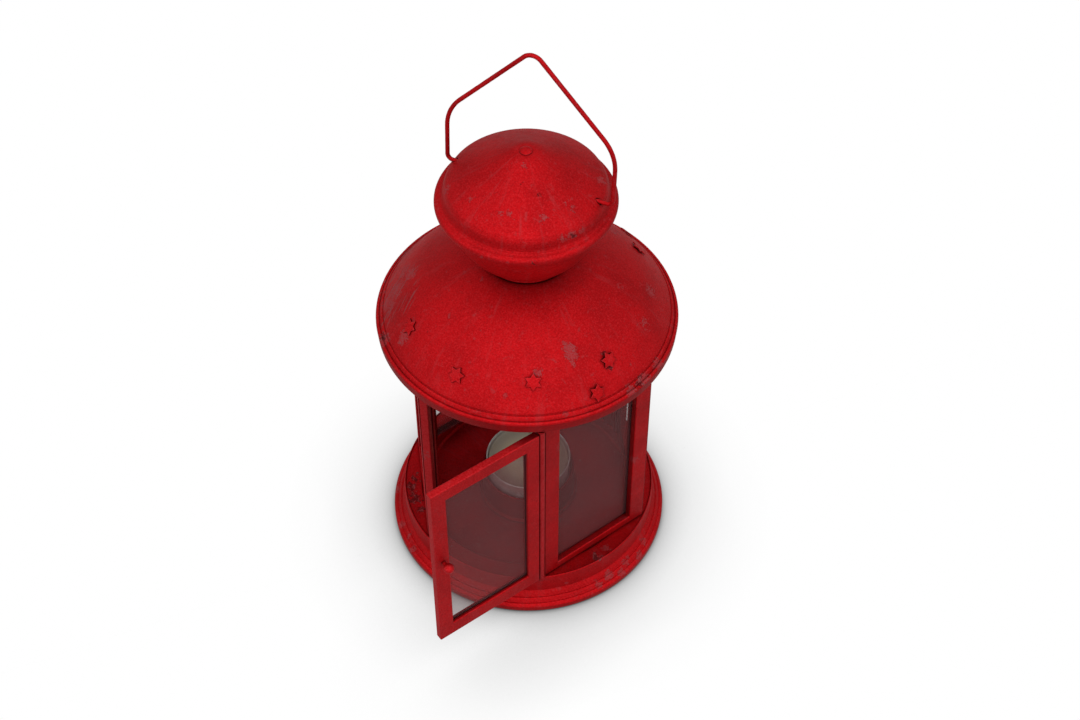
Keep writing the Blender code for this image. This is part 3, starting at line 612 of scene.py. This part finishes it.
# ---- roof ---------------------------------------------------------------
ROOF_R = 60.7
NECK_R = 17.8
NECK_Z = 158.5
roof_curve = [
    (57.4, 129.1), (56.4, 130.6), (54.4, 133.2), (52.2, 136.0), (49.4, 139.2), (45.6, 142.8),
    (41.0, 146.3), (35.6, 149.8), (29.6, 153.2), (24.0, 155.9), (NECK_R, NECK_Z),
]
roof_rim = [
    (ROOF_R - 0.9, 122.0), (ROOF_R - 0.35, 122.0), (ROOF_R - 0.1, 125.2), (ROOF_R, 126.1),
    (ROOF_R - 0.25, 126.8),
    (ROOF_R - 0.8, 127.15), (ROOF_R - 1.25, 127.1), (ROOF_R - 1.5, 126.85), (ROOF_R - 1.75, 127.4),
    (ROOF_R - 2.3, 128.2), (ROOF_R - 2.8, 128.5), (ROOF_R - 3.1, 128.35), (ROOF_R - 3.25, 128.7),
]
roof_inner = [
    (29.2, 151.9), (40.3, 145.0), (48.6, 138.1), (53.4, 132.2), (56.2, 127.6),
    (ROOF_R - 1.8, 125.0), (ROOF_R - 1.35, 122.0),
]
neck_lip = [(NECK_R - 0.9, NECK_Z + 0.2), (NECK_R - 0.9, NECK_Z - 1.0)]
roof_profile = filleted(roof_rim + eased(roof_curve, 4) + neck_lip + roof_inner, 0.3)
roof = new_object("roof_pressed", turned(roof_profile, 256, 0.06, 11), paint_roof)
ride(roof, "lantern", "red_paint", "roof_bell")

# ---- stars --------------------------------------------------------------
STAR_R = 3.6
STAR_T = 0.5
STARS = [  # angle from -Y, distance from the axis, turn, gap under it, extra lift uphill
    (-42.5, 50.0, 8.0, 0.12, 0.0), (-8.5, 51.6, 12.0, 0.12, 0.1), (25.6, 49.7, 2.0, 0.15, 0.2),
    (61.6, 49.6, -6.0, 0.3, 0.5), (51.6, 55.6, 14.0, 0.3, 0.5),
    (138.0, 49.6, 0.0, 0.2, 0.3), (154.0, 54.6, 20.0, 0.2, 0.3),
]
ROOF_LINE = eased(roof_curve, 4)


def roof_height(radius):
    """Height of the pressed roof at a distance from the axis."""
    for (r1, z1), (r2, z2) in zip(ROOF_LINE[:-1], ROOF_LINE[1:]):
        if r2 <= radius <= r1:
            return z1 + (z2 - z1) * (r1 - radius) / (r1 - r2)
    return ROOF_LINE[0][1] if radius > ROOF_LINE[0][0] else ROOF_LINE[-1][1]


def star(index, angle, radius, spin, lift, tilt):
    """Six-pointed star pressed to the roof, lifted a little on its uphill side."""
    height = roof_height(radius)
    slope = (roof_height(radius + 1.0) - roof_height(radius - 1.0)) / 2.0
    out = azimuth(angle)
    side = Vector((-out.y, out.x, 0.0))
    normal = Vector((-slope * out.x, -slope * out.y, 1.0)).normalized()
    uphill = normal.cross(side).normalized()
    centre = Vector((out.x * radius, out.y * radius, height))
    bm = bmesh.new()
    rings = []
    for share in (0.0, 0.5, 0.94, 1.0):
        low = []
        high = []
        for i in range(12):
            a = math.radians(30.0 * i + spin)
            tip = (STAR_R if i % 2 == 0 else STAR_R / math.sqrt(3.0)) * share
            p = centre + uphill * (tip * math.cos(a)) + side * (tip * math.sin(a))
            r = math.hypot(p.x, p.y)
            sunk = (p.z - roof_height(r)) * normal.z
            p = p - normal * sunk
            rise = lift + tilt * (0.5 + 0.5 * math.cos(a) * share)
            soft = 0.07 if share == 1.0 else 0.0
            low.append(p + normal * rise)
            high.append(p + normal * (rise + STAR_T - soft))
        rings.append((low, high))
    tops = [[bm.verts.new(p * MM) for p in high] for low, high in rings[1:]]
    bottoms = [[bm.verts.new(p * MM) for p in low] for low, high in rings[1:]]
    top = bm.verts.new(rings[0][1][0] * MM)
    bottom = bm.verts.new(rings[0][0][0] * MM)
    for i in range(12):
        j = (i + 1) % 12
        bm.faces.new((top, tops[0][i], tops[0][j]))
        bm.faces.new((bottom, bottoms[0][j], bottoms[0][i]))
        for k in range(2):
            bm.faces.new((tops[k][i], tops[k + 1][i], tops[k + 1][j], tops[k][j]))
            bm.faces.new((bottoms[k][j], bottoms[k + 1][j], bottoms[k + 1][i], bottoms[k][i]))
        bm.faces.new((tops[2][i], bottoms[2][i], bottoms[2][j], tops[2][j]))
    piece = new_object("pressed_star_%d" % index, bm, paint_star_lit)
    ride(piece, "lantern", "red_paint", "roof_star_%d" % index)


for index, values in enumerate(STARS, start=1):
    star(index, *values)

# ---- chimney bowl, cap and rivet ---------------------------------------
bowl_curve = [
    (17.2, 160.1), (18.7, 161.5), (22.0, 165.0), (25.4, 169.6), (28.3, 174.8), (30.4, 179.6), (31.8, 184.1),
]
bowl_low = [(14.6, 154.0), (14.6, 159.1), (16.4, 158.9), (17.2, 159.05), (17.45, 159.6)]
bowl_inner = [
    (30.7, 184.3), (29.3, 179.9), (27.2, 175.2), (24.4, 170.2), (21.2, 165.9), (17.9, 162.3),
    (13.6, 160.6), (13.6, 154.0),
]
bowl_profile = filleted(bowl_low + eased(bowl_curve, 4) + bowl_inner, 0.25)
bowl = new_object("chimney_bowl_spun", turned(bowl_profile, SEGS), paint_cap)
ride(bowl, "lantern", "red_paint", "chimney_bowl")

CAP_TOP = 211.1
BAIL_Z = 196.3
HOLE_R = 1.15  # as in the CAD


def pierce(obj, radius, height):
    """Two round holes through a turned piece, along X at a height, in millimetres."""
    bm = bmesh.new()
    place = Matrix.Translation((0.0, 0.0, height * MM)) @ Matrix.Rotation(math.radians(90.0), 4, "Y")
    bmesh.ops.create_cone(
        bm, cap_ends=True, segments=32, radius1=radius * MM, radius2=radius * MM, depth=0.08, matrix=place,
    )
    drill_mesh = bpy.data.meshes.new("drill")
    bm.to_mesh(drill_mesh)
    bm.free()
    drill = bpy.data.objects.new("drill", drill_mesh)
    scene.collection.objects.link(drill)
    cut = obj.modifiers.new("holes", "BOOLEAN")
    cut.object = drill
    cut.operation = "DIFFERENCE"
    cut.solver = "EXACT"
    bpy.context.view_layer.update()
    result = bpy.data.meshes.new_from_object(obj.evaluated_get(bpy.context.evaluated_depsgraph_get()))
    obj.modifiers.clear()
    obj.data = result
    bpy.data.objects.remove(drill)


cap_bead = [(32.2, 184.5), (33.4, 184.8), (34.4, 185.8), (34.8, 187.1), (34.5, 188.3), (33.7, 189.0),
            (32.6, 189.3), (31.8, 189.9), (31.4, 191.0), (31.2, 192.4), (30.9, 193.9), (30.0, 195.6)]
cap_dome = [(30.0, 195.6), (28.4, 197.0), (26.0, 198.6), (22.6, 200.8), (19.1, 202.9), (15.6, 204.9),
            (12.2, 206.9), (9.0, 208.7), (6.4, 210.1), (4.6, 210.8), (3.0, 211.05), (0.0, CAP_TOP)]
cap_inner = [(0.0, CAP_TOP - 1.1), (4.2, 209.7), (8.4, 207.7), (15.0, 203.9), (22.0, 199.8), (28.8, 194.8),
             (30.6, 192.2), (31.6, 190.3), (32.9, 188.4), (33.4, 187.1), (32.9, 186.2), (31.6, 185.2)]
cap_profile = eased(cap_bead, 4)[:-1] + eased(cap_dome, 4) + cap_inner
cap = new_object("cap_spun", turned(cap_profile, 256, 0.05, 17), paint_cap)
pierce(cap, HOLE_R, BAIL_Z)
ride(cap, "lantern", "red_paint", "cap_lid")

rivet_profile = [(0.0, CAP_TOP + 0.15), (2.4, CAP_TOP + 0.15)] + eased(
    [(2.35, CAP_TOP + 0.3), (1.9, CAP_TOP + 0.65), (1.1, CAP_TOP + 0.95), (0.0, CAP_TOP + 1.05)], 4)
rivet = new_object("cap_rivet_head", turned(rivet_profile, 48), paint_cap)
ride(rivet, "lantern", "red_paint", "cap_rivet")

# ---- bail ---------------------------------------------------------------
HALF = 33.3    # half distance between the legs
SHIFT = 1.2    # the wire sits a little off centre, within its end play
END_X = 25.8   # the ends reach this far in, inside the cap
SHOULDER_Z = 219.6
APEX_Z = 254.9
WIRE_R = 0.85
WIRE_WOBBLE = 0.02
LEAN_DEG = -4.0
corners = [
    (SHIFT - END_X, 0.0, BAIL_Z), (SHIFT - HALF, 0.0, BAIL_Z), (SHIFT - HALF, 0.0, SHOULDER_Z),
    (SHIFT, 0.0, APEX_Z),
    (SHIFT + HALF, 0.0, SHOULDER_Z), (SHIFT + HALF, 0.0, BAIL_Z), (SHIFT + END_X, 0.0, BAIL_Z),
]
bends = [0.0, 2.4, 19.0, 4.5, 19.0, 2.4, 0.0]  # radius of the wire's bend at each corner


def rounded_path(points, radii, steps):
    """Path through the points with each corner bent to its radius."""
    pts = [Vector(points[0])]
    for k in range(1, len(points) - 1):
        p = Vector(points[k])
        a = (Vector(points[k - 1]) - p).normalized()
        b = (Vector(points[k + 1]) - p).normalized()
        half = a.angle(b) / 2.0
        reach = radii[k] / math.tan(half)
        centre = p + (a + b).normalized() * (radii[k] / math.sin(half))
        start = p + a * reach - centre
        end = p + b * reach - centre
        sweep = start.angle(end)
        axis = start.cross(end).normalized()
        count = max(4, int(round(steps * sweep / (math.pi / 2.0))))
        for i in range(count + 1):
            pts.append(centre + Matrix.Rotation(sweep * i / count, 3, axis) @ start)
    pts.append(Vector(points[-1]))
    return pts


path = rounded_path(corners, bends, 20)
dense = []
for a, b in zip(path[:-1], path[1:]):
    cuts = max(1, int((b - a).length / 1.2))
    dense += [a.lerp(b, i / cuts) for i in range(cuts)]
dense.append(path[-1])
lean = Matrix.Rotation(math.radians(LEAN_DEG), 4, "X")
pivot = Vector((0.0, 0.0, BAIL_Z))
rng = random.Random(23)
dense = [pivot + lean @ (p - pivot) for p in dense]
radii = [WIRE_R + WIRE_WOBBLE * rng.uniform(-1, 1) for _ in dense]
flat_axis = lean @ Vector((0, 1, 0))
bail = new_object("bail_bent_wire", tube(dense, radii, 20, flat_axis), paint)
ride(bail, "bail", "red_paint", "bail_wire")

# ---- pieces whose CAD shape stays --------------------------------------
def dress(name, mat, bevel=0.0, segments=2):
    """Give a CAD node its material, and softened edges where a bevel width in millimetres is given."""
    obj = nodes[name]
    obj.data.materials.clear()
    obj.data.materials.append(mat)
    if bevel:
        weld = obj.modifiers.new("weld", "WELD")
        weld.merge_threshold = 2e-6
        edge = obj.modifiers.new("soft_edges", "BEVEL")
        edge.width = bevel * MM
        edge.segments = segments
        edge.limit_method = "ANGLE"
        edge.angle_limit = math.radians(38.0)
        for poly in obj.data.polygons:
            poly.use_smooth = True
        obj.modifiers.new("normals", "WEIGHTED_NORMAL").keep_sharp = False


for k in range(1, 6):
    dress("panel_frame_%d" % k, paint, 0.45, 3)
    dress("pane_%d" % k, glass)
for k in range(1, 7):
    dress("corner_post_%d" % k, paint_inner_shaded, 0.25)
for name in ("doorway_post_left", "doorway_post_right", "doorway_lintel"):
    dress(name, paint, 0.4, 3)
for name in ("crown_plate", "hinge_ear_lower", "hinge_ear_upper"):
    dress(name, paint_inner_shaded, 0.2)
dress("base_plate", under, 0.3)
dress("door_frame", paint_door_lit, 0.5, 3)
dress("door_pane", glass)
dress("door_pane_bead", paint_door_lit, 0.2)
dress("door_hinge_rod", paint_door_lit)
dress("door_knob", paint_door_lit)

# ---- floor, light and camera -------------------------------------------
# The floor glows by itself: the camera sees it white with painted shadow from ambient occlusion round the base,
# and the object gets a dim glow from it.
WIDE_SHADE = 0.055     # metres, the soft shade round the base
CONTACT_SHADE = 0.014  # metres, the dark line where the base meets the floor
FLOOR_BOUNCE = 0.36    # light that the floor gives back to the object

floor_bm = bmesh.new()
bmesh.ops.create_grid(floor_bm, x_segments=1, y_segments=1, size=6.0)
floor_tree = Tree("white_floor")
shadow = floor_tree.nodes.new("ShaderNodeAmbientOcclusion")
shadow.samples = 16
shadow.inputs["Distance"].default_value = WIDE_SHADE
glow = floor_tree.nodes.new("ShaderNodeEmission")
contact = floor_tree.nodes.new("ShaderNodeAmbientOcclusion")
contact.samples = 16
contact.inputs["Distance"].default_value = CONTACT_SHADE
wide = floor_tree.math("POWER", shadow.outputs["AO"], 0.9)
near = floor_tree.math("POWER", contact.outputs["AO"], 1.1)
floor_tree.links.new(floor_tree.math("MULTIPLY", wide, near), glow.inputs["Strength"])
dim = floor_tree.nodes.new("ShaderNodeEmission")
dim.inputs["Strength"].default_value = FLOOR_BOUNCE
sight = floor_tree.nodes.new("ShaderNodeLightPath")
either = floor_tree.nodes.new("ShaderNodeMixShader")
floor_tree.links.new(sight.outputs["Is Camera Ray"], either.inputs[0])
floor_tree.links.new(dim.outputs[0], either.inputs[1])
floor_tree.links.new(glow.outputs[0], either.inputs[2])
floor_tree.links.new(either.outputs[0], floor_tree.nodes["Material Output"].inputs["Surface"])
floor = new_object("floor", floor_bm, floor_tree.mat)
floor.location.z = -0.0004

# The studio is bright from the front and above and dimmer behind; what the camera sees is plain white.
KEY_AZIMUTH = 23.0
KEY_ELEVATION = 50.0
world = bpy.data.worlds.new("studio")
scene.world = world
world.use_nodes = True
wn = world.node_tree.nodes
wl = world.node_tree.links
studio_light = wn["Background"]
studio_light.inputs["Color"].default_value = (1.0, 1.0, 1.0, 1.0)
towards = wn.new("ShaderNodeTexCoord")
facing = wn.new("ShaderNodeVectorMath")
facing.operation = "DOT_PRODUCT"
wl.new(towards.outputs["Generated"], facing.inputs[0])
front = azimuth(KEY_AZIMUTH) * math.cos(math.radians(KEY_ELEVATION))
facing.inputs[1].default_value = (front.x, front.y, math.sin(math.radians(KEY_ELEVATION)))
spread = wn.new("ShaderNodeMapRange")
spread.interpolation_type = "SMOOTHSTEP"
wl.new(facing.outputs["Value"], spread.inputs["Value"])
spread.inputs["From Min"].default_value = -0.10
spread.inputs["From Max"].default_value = 0.45
spread.inputs["To Min"].default_value = 0.30
spread.inputs["To Max"].default_value = 1.00
wl.new(spread.outputs["Result"], studio_light.inputs["Strength"])
seen = wn.new("ShaderNodeBackground")
seen.inputs["Color"].default_value = (1.0, 1.0, 1.0, 1.0)
seen.inputs["Strength"].default_value = 1.0
path_node = wn.new("ShaderNodeLightPath")
blend = wn.new("ShaderNodeMixShader")
wl.new(path_node.outputs["Is Camera Ray"], blend.inputs[0])
wl.new(studio_light.outputs[0], blend.inputs[1])
wl.new(seen.outputs[0], blend.inputs[2])
wl.new(blend.outputs[0], wn["World Output"].inputs["Surface"])


KEY_DISTANCE = 1.6
KEY_SIZE = 0.9
KEY_POWER = 1.5
key_aim = Vector((0.0, 0.0, 0.10))
key_out = front + Vector((0.0, 0.0, math.sin(math.radians(KEY_ELEVATION))))
key_data = bpy.data.lights.new("key", "AREA")
key_data.shape = "DISK"
key_data.size = KEY_SIZE
key_data.energy = KEY_POWER
key = bpy.data.objects.new("key", key_data)
scene.collection.objects.link(key)
key.location = key_aim + key_out * KEY_DISTANCE
key.rotation_euler = key_out.to_track_quat("Z", "Y").to_euler()

camera_data = bpy.data.cameras.new("camera")
camera_data.lens = 60.0
camera_data.sensor_width = 36.0
camera_data.sensor_fit = "HORIZONTAL"
camera_data.clip_start = 0.01
camera_data.clip_end = 50.0
camera = bpy.data.objects.new("camera", camera_data)
scene.collection.objects.link(camera)
camera.location = (0.19428, -0.45309, 0.65469)
camera.rotation_euler = (math.radians(41.389), 0.0, math.radians(22.608))
scene.camera = camera
scene.view_settings.view_transform = "Standard"
scene.view_settings.look = "None"
